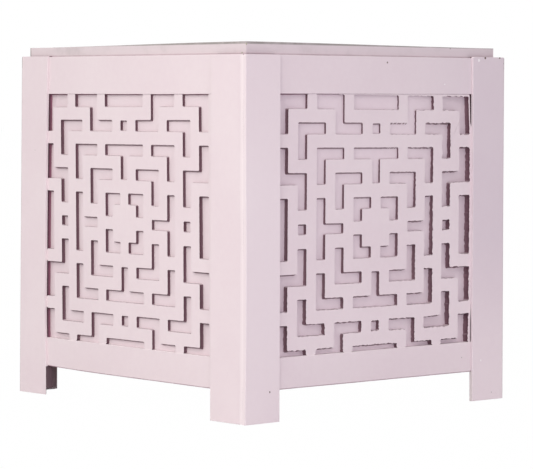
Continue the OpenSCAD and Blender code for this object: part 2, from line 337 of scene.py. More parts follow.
studio = {
    "ambient": 0.42,  # light of the white room
    "ambientColour": (0.95, 0.96, 1, 1),
    "floorColour": (0.66, 0.65, 0.66, 1),  # what the floor throws back on the planter
    "floorGlow": 0.996,  # how far the floor's look is evened out to white
    "floorSize": 40,
}
lamps = {
    "skylight": {  # broad light from above, as wide as a light tent
        "kind": "SUN",
        "place": (-1.65, -0.30, 3.0),
        "target": (0, 0, 0),
        "values": {"energy": 1.5, "angle": math.radians(100), "color": (1, 0.99, 0.98)},
    },
    "leftSoftbox": {
        "kind": "AREA",
        "place": (-1.5, -0.55, 0.95),
        "target": (0, 0, 0.2),
        "values": {"shape": "SQUARE", "size": 0.9, "energy": 8.4, "color": (1, 0.99, 0.955)},
    },
    "frontSoftbox": {
        "kind": "AREA",
        "place": (-0.55, -1.9, 0.30),
        "target": (0, 0, 0.2),
        "values": {"shape": "SQUARE", "size": 0.9, "energy": 8.2, "color": (0.86, 0.80, 1)},
    },
    "lowFill": {  # light thrown back by the floor in front
        "kind": "AREA",
        "place": (0.20, -0.54, 0.05),
        "target": (0.05, 0, 0.08),
        "values": {
            "shape": "RECTANGLE", "size": 0.3, "size_y": 0.06, "energy": 0.075, "color": (1, 0.97, 0.98),
        },
    },
}

for name, setup in lamps.items():
    lamp = bpy.data.lights.new(name, setup["kind"])
    for key, value in setup["values"].items():
        setattr(lamp, key, value)
    holder = bpy.data.objects.new(name, lamp)
    holder.location = setup["place"]
    way = Vector(setup["target"]) - Vector(setup["place"])
    holder.rotation_euler = way.to_track_quat("-Z", "Y").to_euler()
    holder.visible_camera = False
    bpy.context.scene.collection.objects.link(holder)

room = bpy.data.worlds.new("whiteRoom")
room.use_nodes = True
roomTree = room.node_tree
roomTree.nodes.clear()
ambient = addNode(roomTree, "Background", {"Color": studio["ambientColour"], "Strength": studio["ambient"]})
backdrop = addNode(roomTree, "Background", {"Color": (1, 1, 1, 1)})
isSeen = addNode(roomTree, "LightPath").outputs["Is Camera Ray"]
seenOrLit = addNode(roomTree, "MixShader", {0: isSeen, 1: ambient.outputs[0], 2: backdrop.outputs[0]})
addNode(roomTree, "OutputWorld", {"Surface": seenOrLit.outputs[0]})
bpy.context.scene.world = room
bpy.context.scene.view_settings.view_transform = "Standard"

deselectAll()
bpy.ops.mesh.primitive_plane_add(size=studio["floorSize"], location=(0, 0, 0))
studioFloor = bpy.context.object
studioFloor.name = "studioFloor"
floorMaterial = bpy.data.materials.new("studioFloor")
floorMaterial.use_nodes = True
floorTree = floorMaterial.node_tree
floorTree.nodes.clear()
floorPaper = addNode(floorTree, "BsdfDiffuse", {"Color": studio["floorColour"]})
floorGlow = addNode(floorTree, "Emission", {"Color": (1, 1, 1, 1)})
isSeen = addNode(floorTree, "LightPath").outputs["Is Camera Ray"]
floorShare = times(floorTree, isSeen, studio["floorGlow"])
floorLook = {0: floorShare, 1: floorPaper.outputs[0], 2: floorGlow.outputs[0]}
floorMix = addNode(floorTree, "MixShader", floorLook)
addNode(floorTree, "OutputMaterial", {"Surface": floorMix.outputs[0]})
studioFloor.data.materials.append(floorMaterial)
print("camera, lights and floor ready")


# Brushed satin paint: a slightly blotchy coat with long brush marks and small nibs.
satinCoat, coatIn, coatOut = newGroup(
    "satinCoat",
    {
        "Vector": (vectorSocket, None),
        "Tint": (colourSocket, (0.8, 0.7, 0.74, 1)),
        "Shade": (colourSocket, (0.7, 0.6, 0.64, 1)),
        "Marks": (vectorSocket, None),  # the place, squeezed along the brush's way
    },
    {"Color": colourSocket, "Roughness": valueSocket, "Height": valueSocket},
)
blotches = noise(satinCoat, coatIn["Vector"], 9, 4, 0.6)
mottle = noise(satinCoat, coatIn["Vector"], 150, 2, 0.6)
brushMarks = noise(satinCoat, coatIn["Marks"], 1, 3, 0.6)
nibs = remap(satinCoat, noise(satinCoat, coatIn["Vector"], 420, 1, 0.4), 0.66, 0.80)
coatMix = calc(satinCoat, "MULTIPLY_ADD", remap(satinCoat, blotches, 0.32, 0.68), 0.7,
               times(satinCoat, remap(satinCoat, mottle, 0.3, 0.7), 0.3))
feed(satinCoat, coatOut["Color"], blendColour(satinCoat, coatMix, coatIn["Tint"], coatIn["Shade"]))
feed(satinCoat, coatOut["Roughness"], remap(satinCoat, mottle, 0.2, 0.8, 0.40, 0.56))
coatRelief = calc(satinCoat, "ADD", times(satinCoat, brushMarks, 0.6), times(satinCoat, nibs, 0.4))
feed(satinCoat, coatOut["Height"], coatRelief)

# Breaks the mark of the rounded edges into uneven wear.
edgeWear, wearIn, wearOut = newGroup(
    "edgeWear",
    {
        "Vector": (vectorSocket, None),
        "Arris": (valueSocket, 0.0),
        "Amount": (valueSocket, 1.0),
    },
    {"Mask": valueSocket},
)
wearNoise = remap(edgeWear, noise(edgeWear, wearIn["Vector"], 60, 4, 0.65), 0.25, 0.6)
feed(edgeWear, wearOut["Mask"], times(edgeWear, wearNoise, wearIn["Arris"], wearIn["Amount"]))

# A small round spot, such as a knock or a speck of dirt, at a place on the object.
smallSpot, spotIn, spotOut = newGroup(
    "smallSpot",
    {
        "Vector": (vectorSocket, None),
        "Centre": (vectorSocket, None),
        "Radius": (valueSocket, 0.001),
    },
    {"Mask": valueSocket},
)
spotEnds = {0: spotIn["Vector"], 1: spotIn["Centre"]}
spotOffset = addNode(smallSpot, "VectorMath", spotEnds, operation="DISTANCE")
spotEdge = calc(smallSpot, "MULTIPLY_ADD", noise(smallSpot, spotIn["Vector"], 900, 2), 0.9,
                calc(smallSpot, "DIVIDE", spotOffset.outputs["Value"], spotIn["Radius"]))
feed(smallSpot, spotOut["Mask"], remap(smallSpot, spotEdge, 1.5, 1.1))

# Sawn or planed wood with its grain along one axis.
woodGrain, grainIn, grainOut = newGroup(
    "woodGrain",
    {
        "Vector": (vectorSocket, None),  # the place, squeezed along the grain
        "Light": (colourSocket, (0.7, 0.5, 0.3, 1)),
        "Dark": (colourSocket, (0.5, 0.33, 0.18, 1)),
    },
    {"Color": colourSocket, "Roughness": valueSocket, "Height": valueSocket},
)
waveInputs = {"Vector": grainIn["Vector"], "Scale": 0.42, "Distortion": 6, "Detail": 3}
grainWave = addNode(woodGrain, "TexWave", waveInputs, wave_type="RINGS", rings_direction="SPHERICAL")
fibres = noise(woodGrain, grainIn["Vector"], 7, 4, 0.7)
grainMix = calc(woodGrain, "MULTIPLY_ADD", grainWave.outputs["Fac"], 0.55, times(woodGrain, fibres, 0.45))
feed(woodGrain, grainOut["Color"], blendColour(woodGrain, grainMix, grainIn["Light"], grainIn["Dark"]))
feed(woodGrain, grainOut["Roughness"], remap(woodGrain, fibres, 0.2, 0.8, 0.62, 0.85))
feed(woodGrain, grainOut["Height"], fibres)


paintColours = {
    "frame": ((0.800, 0.690, 0.702, 1), (0.775, 0.655, 0.675, 1)),
    "box": ((0.825, 0.695, 0.720, 1), (0.790, 0.650, 0.680, 1)),
    "rim": (0.710, 0.614, 0.626, 1),
    "edge": (0.900, 0.795, 0.800, 1),  # painted light on narrow edges, feet, some boards and the left wall; at the near corner also rubbed paint
    "inner": (0.660, 0.565, 0.612, 1),  # painted shade towards the openings, on the front's right post and top rail and on the front wall
    "worn": (0.905, 0.845, 0.842, 1),  # thin or chalky paint along the edges, and on the frets a painted highlight too
    "cut": (0.096, 0.042, 0.058, 1),  # scorched, thinly covered edge of the fret board
    "cutDeep": (0.260, 0.160, 0.185, 1),
    "bareShaded": (0.420, 0.190, 0.260, 1),  # deep places the brush hardly reached, and painted shade in these recesses and under the top rails
    "bareShadedEdge": (0.040, 0.014, 0.022, 1),  # painted shade, darkest just behind the frets' face
    # painted shade at the feet, lighter where the recess opens below the rails
    "bareShadedFoot": (0.160, 0.105, 0.118, 1),
    "line": (0.330, 0.190, 0.235, 1),  # dirt and shade held along a lower edge or a joint
    "grime": (0.330, 0.300, 0.280, 1),
    "moss": (0.420, 0.400, 0.300, 1),
    "chip": (0.130, 0.080, 0.060, 1),
}
brushWay = {  # squeezes the brush marks along a board
    "up": (700, 700, 22),
    "across": (22, 22, 700),
}
paintRelief = 0.12 * mm
rimLook = {  # heights where a mark is still missing and where it is full
    "joint": (frameTop + 2.2 * mm, frameTop + 0.8 * mm),  # dark line just above the frame
    "jointShare": 0.45,
    "top": (rimTop - 1.6 * mm, rimTop - 0.4 * mm),  # grimy upper edge
}
lineShares = (("lowerEdge", 0.85, "line"), ("outline", 0.75, "grime"))  # mark, share and colour


# Specks and knocks that show in the photo: place and radius in mm, and colour
railSpecks = [
    ((12.2, -200.7, 395.6), 1.2, "chip"),
    ((136.0, -200.7, 52.5), 0.7, "grime"),
    ((104.5, -200.7, 371.5), 1.1, "worn"),
]
postSpecks = [
    ((-166.6, -203.2, 33.8), 1.3, "chip"),
    ((169.0, -203.2, 402.6), 1.6, "chip"),
    ((184.0, -203.2, 8.5), 0.7, "grime"),
    ((200.9, -203.2, 396.5), 1.2, "grime"),
    ((201.1, -203.2, 391.0), 0.9, "grime"),
    ((193.5, -203.2, 403.0), 1.3, "chip"),
    ((165.5, -203.2, 47.5), 1.3, "worn"),
    ((158.5, -203.2, 399.8), 2.0, "worn"),
    ((-205.0, 168.0, 24.0), 0.8, "grime"),
    ((-203.2, 177.0, 292.0), 0.6, "grime"),
]
rimSpecks = [
    ((-193.2, -193.7, 413.6), 1.3, "moss"),
    ((-193.7, -187.0, 404.0), 1.2, "moss"),
    ((120.0, -193.7, 413.0), 0.9, "grime"),
]


def makePaint(name, tone, way, wear=0.3, spots=(), isRim=False, cutEdges=False):
    material, tree, shader, place = newMaterial(name)
    tint, shade = paintColours[tone]
    coat = useGroup(tree, satinCoat, Vector=place, Tint=tint, Shade=shade,
                    Marks=stretch(tree, place, brushWay[way]))
    height = addNode(tree, "SeparateXYZ", {0: place}).outputs["Z"]
    uneven = remap(tree, noise(tree, place, 30, 4, 0.7), 0.2, 0.6, 0.35, 1.0)

    def over(below, share, top):  # lays one of the paint colours over another
        return blendColour(tree, share, below, paintColours[top])

    colour = coat["Color"]
    if cutEdges:
        cutColour = over(paintColours["cut"], attribute(tree, "cutDepth"), "cutDeep")
        colour = blendColour(tree, attribute(tree, "cut"), colour, cutColour)
    for mark in ("edge", "inner"):
        colour = over(colour, attribute(tree, mark), mark)
    # Deep places: bare wood and painted shade, darkest just behind the frets' face and lighter at the feet
    bareShadedColour = over(paintColours["bareShadedEdge"], attribute(tree, "bareShadedDepth"), "bareShaded")
    aboveFoot = remap(tree, height, railFoot - 4 * mm, railFoot + 6 * mm)
    bareShadedColour = blendColour(tree, aboveFoot, paintColours["bareShadedFoot"], bareShadedColour)
    colour = blendColour(tree, attribute(tree, "bareShaded"), colour, bareShadedColour)
    if isRim:
        aboveFrame = remap(tree, height, rimFoot, frameTop - 2 * mm)
        stains = remap(tree, noise(tree, place, 24, 4, 0.65), 0.45, 0.85, 0.0, 0.35)
        colour = blendColour(tree, aboveFrame, colour, over(paintColours["rim"], stains, "grime"))
        joint = remap(tree, height, *rimLook["joint"])
        colour = over(colour, times(tree, aboveFrame, joint, uneven, rimLook["jointShare"]), "line")
        topEdge = remap(tree, height, *rimLook["top"])
        colour = over(colour, times(tree, topEdge, uneven), "grime")
    worn = useGroup(tree, edgeWear, Vector=place, Arris=attribute(tree, "arris"), Amount=wear)["Mask"]
    colour = over(colour, worn, "worn")
    for mark, share, top in lineShares:
        colour = over(colour, times(tree, attribute(tree, mark), uneven, share), top)
    for centre, radius, top in spots:
        spot = useGroup(tree, smallSpot, Vector=place, Centre=Vector(centre) * mm, Radius=radius * mm)
        colour = over(colour, spot["Mask"], top)
    wireShader(tree, shader, colour, coat["Roughness"], coat["Height"], paintRelief, 0.5)
    dull = calc(tree, "MAXIMUM", attribute(tree, "bareShaded"), attribute(tree, "cut"))
    feed(tree, shader.inputs["Specular IOR Level"], remap(tree, dull, 0, 1, 0.4, 0.1))
    return material


paintUp = makePaint("paintUprights", "frame", "up", spots=postSpecks)
paintAcross = makePaint("paintRails", "frame", "across", spots=railSpecks)
paintPacker = makePaint("paintPackers", "frame", "up")
paintBox = makePaint("paintBox", "box", "across", spots=rimSpecks, isRim=True)
# The frets' edges are marked much lighter: rubbed paint and a painted highlight along the bars
paintFret = makePaint("paintFret", "frame", "across", wear=0.9, cutEdges=True)


boardShape = {
    "arris": 0.55 * mm,
    "arrisSteps": 3,
    "nearCorner": 2.0 * mm,  # the near corner is rounded under thick paint
    "topCorner": 1.6 * mm,  # rounding of the upper corners of the posts
    "railCorner": 2.2 * mm,  # and of the lower corners of the bottom rails
    "darkEdge": 1.0 * mm,  # width of the dark lines along some edges
    "packerFoot": 0.4 * mm,  # how far the packers end above the floor
    "shortFoot": 7.9 * mm,  # and the rear left foot's packer and block
    "slimFoot": 3 * mm,  # how much narrower the front right block is
    "chippedFoot": 5 * mm,  # depth of the chip in the rear left board's foot
    "undercut": 1.5 * mm,  # how far the top rails' inner lower edge hangs down behind their face
    "lowPart": 3 * mm,  # height of the rails' lower part, which strays
    "cutStep": 14 * mm,
    "wander": 0.30 * mm,  # how far the hand-cut boards stray from straight
    "wanderLength": 0.06,
}

wanderField = bpy.data.textures.new("wanderField", "CLOUDS")
wanderField.noise_scale = boardShape["wanderLength"]


def wander(piece, amount):
    applyModifier(piece, "DISPLACE", texture=wanderField, texture_coords="LOCAL", strength=amount,
                  mid_level=0.5)


# Nothing on the planter is quite straight. Three of its corners stray from their place by so much, in mm,
# at a few heights, also in mm, along x and along y: the corner's own edge, and the inner edge of its boards
# on either side. The posts' ends stray upwards.
strayCorners = [
    {
        "signs": (1, -1),  # front right
        "inner": (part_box("post_board_front_right")[0].x, -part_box("post_board_right_front")[1].y),
        "edge": ([(0, 0), (235, -1.4), (402, -1.9)], [(0, 0), (402, 0)]),
        "innerEdge": (
            [(0, -0.6), (235, -2.1), (402, -3.9)],
            [(0, -7.8), (30, -7.8), (35, -3.3), (402, -3.3)],
        ),
        "posts": [(0, 0), (340, 0), (402, 1.5)],
    },
    {
        "signs": (-1, -1),  # near corner
        "inner": (-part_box("post_board_front_left")[1].x, -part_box("post_board_left_front")[1].y),
        "edge": (
            [(0, 0.3), (402, 0.3)],
            [(0, -1.5), (45, -2.1), (100, -2.5), (185, -2.5), (262, -1.5), (402, -0.8)],
        ),
        "innerEdge": ([(0, 0.7), (150, 0.7), (402, 0)], [(0, 0), (402, 0)]),
        "posts": [(0, 0), (402, 0)],
    },
    {
        "signs": (-1, 1),  # rear left
        "inner": (-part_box("post_board_back_left")[1].x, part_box("post_board_left_rear")[0].y),
        "edge": ([(0, -2.2), (402, 0)], [(0, 2.2), (402, 0)]),
        "innerEdge": (
            [(0, -2.3), (402, -2.3)],
            [(0, -3.2), (45, -2.8), (75, -0.8), (110, -0.5), (190, -1.6), (285, -3.3), (350, -4.8),
             (402, -6.4)],
        ),
        "posts": [(0, 2.1), (60, 0), (340, 0), (402, 0.8)],
    },
]
railEndBlend = 14 * mm
# Painted light and shade on boards and rails: the front's left post lighter, its right post and the right
# of its top rail darker as the light falls off to the right, and that post's foot lighter, lit from the
# floor. Shares at a few heights in mm, or for the rail at a few places from left to right
boardLight = {
    "post_board_front_left": [(0, 0.40), (230, 0.50), (402, 0.25)],
    "post_board_front_right": [(0, 0.30), (70, 0.15), (120, 0)],
}
boardShade = {"post_board_front_right": [(0, 0), (70, 0.1), (190, 0.62), (402, 0.42)]}
railShade = {"top_rail_front": [(-100, 0), (60, 0.08), (150, 0.3)]}
# How far the lower edges of each side's rails stray upwards, in mm, at places from left to right in mm
topRailStray = [
    [(-152, 0.35), (40, 0.5), (152, 0.8)],
    [(-152, 0.3), (152, -0.2)],
    [(-152, 0), (152, 0.5)],
    [(-159, -0.8), (60, -0.8), (146, -0.35)],
]
bottomRailStray = [[(0, 0)], [(0, 0)], [(0, 0)], [(-159, 1.5), (-135, 1.0), (-100, 0.4), (-50, 0)]]


def railStrayAt(railStray, side, place):
    return valueAt(railStray[side], toSide(side, place).x / mm) * mm


def strayAt(place, isPost=False):
    shift = Vector((0, 0, 0))
    for corner in strayCorners:
        reach = [place[axis] * corner["signs"][axis] for axis in (0, 1)]
        fade = [ramp(reach[axis], corner["inner"][axis], wallHalf) for axis in (0, 1)]
        for axis, other in ((0, 1), (1, 0)):
            edge = valueAt(corner["edge"][axis], place.z / mm) * mm
            if reach[other] > wallHalf - 0.1 * mm:  # on the side whose boards lie along this axis
                inner = valueAt(corner["innerEdge"][axis], place.z / mm) * mm
                near = ramp(reach[axis], corner["inner"][axis] - railEndBlend, corner["inner"][axis])
                shift[axis] += edge * fade[axis] + inner * near * (1 - fade[axis])
            else:
                shift[axis] += edge * ramp(reach[axis], wallHalf, halfWidth) * fade[other]
        if isPost and min(reach) > 0.1:
            shift.z += valueAt(corner["posts"], place.z / mm) * mm
    return shift


def strayFrom(piece, isPost=False):
    for vertex in piece.data.vertices:
        vertex.co += strayAt(vertex.co, isPost)


def boardBox(node):  # a board's place, with the feet as the photo shows them
    low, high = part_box(node)
    if node.startswith("post_packer"):
        low.z = boardShape["packerFoot"]
    if node == "post_packer_left_rear":  # this packer comes out to its board's edge
        low.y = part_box("post_board_left_rear")[0].y + 0.2 * mm
        low.z = boardShape["shortFoot"]
    if node.startswith("leg_block") and low.x < 0 < low.y:
        low.z = boardShape["shortFoot"]
    if node.startswith("leg_block") and high.y < 0 < low.x:
        low.x += boardShape["slimFoot"]
        high.y -= boardShape["slimFoot"]
    return low, high


def chipFoot(board, low):  # in edit mode: the rear left board's foot is chipped behind its face
    chipTop = boardShape["shortFoot"]
    chipEdge = 0.4 * mm
    cutAcross(2, [chipTop, chipTop - chipEdge])
    for vertex in bmesh.from_edit_mesh(board.data).verts:
        isFoot = vertex.co.z < chipTop - chipEdge / 2
        if isFoot and vertex.co.y < low.y + mm and vertex.co.x > low.x + 0.5 * mm:
            vertex.co.y += boardShape["chippedFoot"]


postMarks = {  # shares of the posts' marks, and for a pair how much is added where the mark is strongest
    "boardEdge": (0.10, 0.40),  # how light the narrow edges are: rubbed paint and a painted highlight, strongest where the two boards meet
    "packerEdge": (0.30, 0.50),
    "footEdge": 1.0,  # painted light on the feet's inner edges, which lie in shade
    # painted light on the rear left board's narrow edge
    "rearLeftEdge": 0.35,
    "innerEdge": 0.5,  # painted shade on the edges towards the openings
    "innerReach": 20 * mm,
    "outline": (0.6, 0.6),  # the planter's own upright edges, strongest near the top
    "outlineTop": (frameTop - 16 * mm, frameTop - 8 * mm),
    "underRail": 0.4,  # how deep the top rails' undersides count as, for their painted shade
}


def markPost(post, node, thinWay, thickness):  # lighter, duller and outlined places of a board or packer
    crossWay = 1 - thinWay
    isRearLeft = node == "post_board_left_rear"

    def isNarrow(face):
        return abs(face.normal[crossWay]) > 0.9

    def byHeight(marks, face, place):  # on the broad faces
        return 0.0 if abs(face.normal[thinWay]) < 0.9 else valueAt(marks.get(node, [(0, 0)]), place.z / mm)

    def edgeLight(face, place):
        if isNarrow(face) and abs(face.center[crossWay]) > wallHalf:
            isBoard = node.startswith("post_board")
            share, more = postMarks["boardEdge" if isBoard else "packerEdge"]
            depth = halfWidth - abs(place[thinWay])
            return share + more * ramp(depth, 0 if isBoard else 2 * thickness, thickness)
        if isNarrow(face) and face.center.z < railFoot:
            return postMarks["footEdge"]
        if isNarrow(face) and isRearLeft:
            return postMarks["rearLeftEdge"]
        return byHeight(boardLight, face, place)

    def innerShade(face, place):
        if isNarrow(face) and abs(face.center[crossWay]) < wallHalf - postMarks["innerReach"]:
            return 0.0 if isRearLeft or face.center.z < railFoot else postMarks["innerEdge"]
        return byHeight(boardShade, face, place)

    def outerEdge(face, place):  # the planter's own upright edges, left and right
        toEdge = halfWidth - min(abs(face.center.x), abs(face.center.y))
        if face.center.x * face.center.y > 0 or abs(face.normal.z) > 0.5 or toEdge > boardShape["darkEdge"]:
            return 0.0
        share, more = postMarks["outline"]
        return share + more * smoothStep(face.center.z, *postMarks["outlineTop"])

    markCorners(post, "outline", outerEdge)
    markCorners(post, "edge", edgeLight)
    markCorners(post, "inner", innerShade)
    markCorners(post, "bareShadedDepth",
                lambda face, place: ramp(halfWidth - abs(place[thinWay]), fretFace, wallFace))


def makeBoard(node, material, isBareShaded=None, arris=boardShape["arris"]):
    isPost = node.startswith("post_")
    isTopRail = node.startswith("top_rail")
    isBottomRail = node.startswith("bottom_rail")
    isFrame = isPost or isTopRail or isBottomRail
    low, high = boardBox(node)
    middle = (low + high) / 2
    size = high - low
    longWay = max(range(3), key=lambda axis: size[axis])
    thinWay = min(range(3), key=lambda axis: size[axis])
    board = addBlock(node + "_painted", low, high)

    def roundCorners(isThere, radius):
        pick(board, "EDGE", lambda edge: all(isThere(v.co.z) for v in edge.verts)
             and abs(edge.verts[0].co[thinWay] - edge.verts[1].co[thinWay]) > mm)
        bpy.ops.mesh.bevel(offset=radius, segments=3, affect="EDGES")

    startEdit(board)
    if node.startswith("post_board"):
        roundCorners(lambda z: z > high.z - mm, boardShape["topCorner"])
    if isBottomRail:
        roundCorners(lambda z: z < low.z + mm, boardShape["railCorner"])
        cutAcross(2, [low.z + boardShape["darkEdge"]])
    if isTopRail:
        pick(board, "EDGE", lambda edge: all(
            v.co.z < low.z + mm and (v.co - middle)[thinWay] * middle[thinWay] < 0 for v in edge.verts))
        bpy.ops.transform.translate(value=(0, 0, -boardShape["undercut"]))
    cutAcross(longWay, evenPlaces(low[longWay], high[longWay], boardShape["cutStep"]))
    if isTopRail or isBottomRail:
        side = sideNames.index(node.rsplit("_")[-1])
        for vertex in bmesh.from_edit_mesh(board.data).verts:
            if vertex.co.z < low.z + boardShape["lowPart"]:
                vertex.co.z += railStrayAt(topRailStray if isTopRail else bottomRailStray, side, vertex.co)
    if isPost:  # splits the narrow edges where the frets begin
        facing = 1 if high[thinWay] > 0 else -1
        cutAcross(thinWay, [facing * (halfWidth - fretFace)])
        cutAcross(2, [railFoot])
        if node == "post_board_left_rear":
            chipFoot(board, low)
        cutAcross(1 - thinWay, [-halfWidth + boardShape["darkEdge"], halfWidth - boardShape["darkEdge"]])
    endEdit()
    shownFace = max(abs(low[thinWay]), abs(high[thinWay]))

    def weightOf(edge):  # the edges at the back stay sharp and tight
        ends = [v.co for v in edge.verts]
        if isPost and all(end.x + end.y < -2 * halfWidth + 0.2 * mm for end in ends):
            return 1.0
        isSeen = not isFrame or any(abs(end[thinWay]) > shownFace - 0.1 * mm for end in ends)
        return arris / boardShape["nearCorner"] if isSeen else 0.0

    if node.startswith("post_packer"):
        board.data.materials.append(material)
    else:
        roundArrises(board, material, boardShape["nearCorner"], boardShape["arrisSteps"], weightOf)
    if isBareShaded:
        markCorners(board, "bareShaded", isBareShaded)
    if isPost:
        markPost(board, node, thinWay, size[thinWay])
    if isTopRail:
        shade = railShade.get(node, [(0, 0)])
        markCorners(board, "bareShadedDepth", lambda face, place: postMarks["underRail"])
        markCorners(board, "inner", lambda face, place: valueAt(shade, place.x / mm))
    if isBottomRail:
        lowPart = low.z + boardShape["lowPart"]
        markCorners(board, "lowerEdge", lambda face, place: 1.0 if face.center.z < lowPart else 0.0)
    if isFrame:
        strayFrom(board, isPost)
    wander(board, boardShape["wander"])
    settleNormals(board)
    finishPiece(board, "planter", node)


# The top rails' undersides get the bare, shaded colour: painted shade under the rails
def looksDown(face, place):
    return 1.0 if face.normal.z < -0.5 else 0.0


for side, sideName in enumerate(sideNames):
    outward = outwardOf(side)
    for node in sorted(name for name in cadNodes if name.startswith("post_board_" + sideName)):
        def inSlot(face, place):  # the narrow edge towards the opening, below the frets' face
            if towardCorner(side, face) > -0.05:
                return 0.0
            if face.center.z < railFoot:  # of the feet only the rear left one gets the bare, shaded colour
                return 1.0 if node == "post_board_left_rear" else 0.0
            return 1.0 if outward.dot(face.center) < halfWidth - fretFace else 0.0

        makeBoard(node, paintUp, inSlot)
    for node in sorted(name for name in cadNodes if name.startswith("post_packer_" + sideName)):
        def awayFromCorner(face, place):  # only the edge at the corner of the planter keeps its paint; the rest gets the bare, shaded colour
            if face.center.z < railFoot and node != "post_packer_left_rear":
                return 0.0
            isEdge = abs(face.normal.dot(outward)) < 0.5 and abs(face.normal.z) < 0.5
            return 0.0 if isEdge and towardCorner(side, face) > 0 else 1.0

        makeBoard(node, paintPacker, awayFromCorner)
    makeBoard("top_rail_" + sideName, paintAcross, looksDown)
    makeBoard("bottom_rail_" + sideName, paintAcross)
print("posts and rails made")


wallShape = {
    "darkEdge": 2.4 * mm,
    "cornerStrip": 12 * mm,  # the walls' ends, as wide as the walls are thick
    "arris": 0.8 * mm,
    "arrisSteps": 2,
    "cutStep": 20 * mm,
    "wander": 0.30 * mm,
    "paintedLight": (0, 0, 0, 0.15),  # painted light and shade on each wall: the left wall lighter and the front wall darker, as the light falls
    "paintedShade": (0.12, 0, 0, 0),
    "rimReach": 190 * mm,  # the shifts of the rim's corners blend over this far either way of the middle
    "rimBend": 360 * mm,  # and reach down to this height
    # The rim isn't level or square: how far its corners stray along x, y and z
    "rimFrontLeft": Vector((0, 0, 1.6 * mm)),
    "rimFrontRight": Vector((-1.4 * mm, 0, -0.4 * mm)),
    "rimBackRight": Vector((0, 0, -1.5 * mm)),
    "rimBackLeft": Vector((-2.6 * mm, 2.4 * mm, -1.3 * mm)),
}
# How far each wall's face comes forward behind its fret, in mm: near the foot, half way up and near the top
# of the opening, each at a few places from left to right, also in mm
wallBow = [
    [
        [(-152, 0), (-100, 0.8), (-40, 1.8), (30, 1.5), (85, -0.4), (150, -1.5)],
        [(-152, 0.2), (-100, 2.8), (-10, 3.0), (60, 1.6), (106, 0.4), (150, -1.9)],
        [(-152, 0.4), (-125, 1.8), (-100, 3.6), (52, 4.4), (106, 1.6), (150, -0.8)],
    ],
    [
        [(-152, 0.5), (-60, 2.0), (40, 2.4), (150, 0.6)],
        [(-152, 1.0), (-60, 3.0), (40, 3.4), (150, 1.2)],
        [(-152, 1.2), (-60, 3.2), (40, 3.6), (150, 1.5)],
    ],
    [
        [(-152, 0), (-80, 1.0), (30, 1.4), (150, 0)],
        [(-152, 0.4), (-80, 3.0), (30, 2.6), (150, -0.6)],
        [(-152, 0.8), (-80, 3.6), (30, 3.8), (150, 0)],
    ],
    [
        [(-158, 0.9), (-127, 1.6), (-60, 2.2), (40, 2.8), (85, 2.2), (145, 0.6)],
        [(-158, 0.9), (-127, 1.7), (-60, 2.4), (40, 2.8), (85, 2.4), (145, 0.8)],
        [(-158, 0.9), (-127, 1.8), (-60, 2.4), (40, 3.0), (85, 2.9), (145, 2.0)],
    ],
]
bowHeights = [120 * mm, 212 * mm, 305 * mm]


def bowAt(side, x, z):
    heights = [(height, valueAt(along, x / mm)) for height, along in zip(bowHeights, wallBow[side])]
    return valueAt(heights, z) * mm


def rimShift(place):  # blends the four corners' shifts over the rim
    reach = wallShape["rimReach"]
    along, back = (smoothStep(place[axis], -reach, reach) for axis in (0, 1))
    front = wallShape["rimFrontLeft"].lerp(wallShape["rimFrontRight"], along)
    rear = wallShape["rimBackLeft"].lerp(wallShape["rimBackRight"], along)
    return front.lerp(rear, back)


def makeWall(side):
    node = "box_wall_" + sideNames[side]
    low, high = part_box(node)
    wall = addBlock(node + "_painted", low, high)
    outward = outwardOf(side)
    railLow, railHigh = sideBox(side, "top_rail_" + sideNames[side])
    fretLow, fretHigh = sideBox(side, "fret_panel_" + sideNames[side])
    alongAxis = side % 2
    step = wallShape["cutStep"]
    cuts = sorted(toWorld(side, (x, 0, 0))[alongAxis] for x in (railLow.x, railHigh.x))
    ends = [end + inset * way for inset in (wallShape["darkEdge"], wallShape["cornerStrip"])
            for way, end in ((1, low[alongAxis]), (-1, high[alongAxis]))]
    startEdit(wall)
    cutAcross(alongAxis, cuts + evenPlaces(cuts[0], cuts[1], step) + ends)
    cutAcross(2, [fretLow.z, fretHigh.z, rimFoot, frameTop] + evenPlaces(fretLow.z, fretHigh.z, step))

    def behindFret(face):
        middle = toSide(side, face.calc_center_median())
        isBehind = railLow.x < middle.x < railHigh.x and fretLow.z < middle.z < fretHigh.z
        return isBehind and face.normal.dot(outward) > 0.9

    pick(wall, "FACE", behindFret)
    bpy.ops.mesh.extrude_region_move(TRANSFORM_OT_translate={"value": outward * 0.01 * mm})
    shape = bmesh.from_edit_mesh(wall.data)
    for vertex in {v for face in shape.faces if face.select for v in face.verts}:
        place = toSide(side, vertex.co)
        vertex.co += outward * bowAt(side, place.x, place.z)
    for vertex in shape.verts:
        shift = rimShift(vertex.co)
        vertex.co.z += shift.z * smoothStep(vertex.co.z, frameTop, rimTop)
        vertex.co.xy += shift.xy * smoothStep(vertex.co.z, wallShape["rimBend"], frameTop)
    bmesh.update_edit_mesh(wall.data)
    endEdit()

    def behindPosts(face, place):
        isOuter = face.normal.dot(outward) > 0.9 and face.center.z < rimFoot
        return 1.0 if isOuter and not railLow.x < toSide(side, face.center).x < railHigh.x else 0.0

    # painted shade on the front wall, below the rim
    def wallShade(face, place):
        return wallShape["paintedShade"][side] if face.center.z < rimFoot else 0.0

    def outerEdge(face, place):  # the rim's ends on the left and on the right
        toEdge = wallHalf - min(abs(face.center.x), abs(face.center.y))
        return 1.0 if face.center.x * face.center.y < 0 and toEdge < wallShape["darkEdge"] else 0.0

    roundArrises(wall, paintBox, wallShape["arris"], wallShape["arrisSteps"])
    markCorners(wall, "bareShaded", behindPosts)
    markCorners(wall, "edge", lambda face, place: wallShape["paintedLight"][side])
    markCorners(wall, "inner", wallShade)
    markCorners(wall, "outline", outerEdge)
    wander(wall, wallShape["wander"])
    settleNormals(wall)
    finishPiece(wall, "planter", node)


for side in range(4):
    makeWall(side)
print("box walls made")


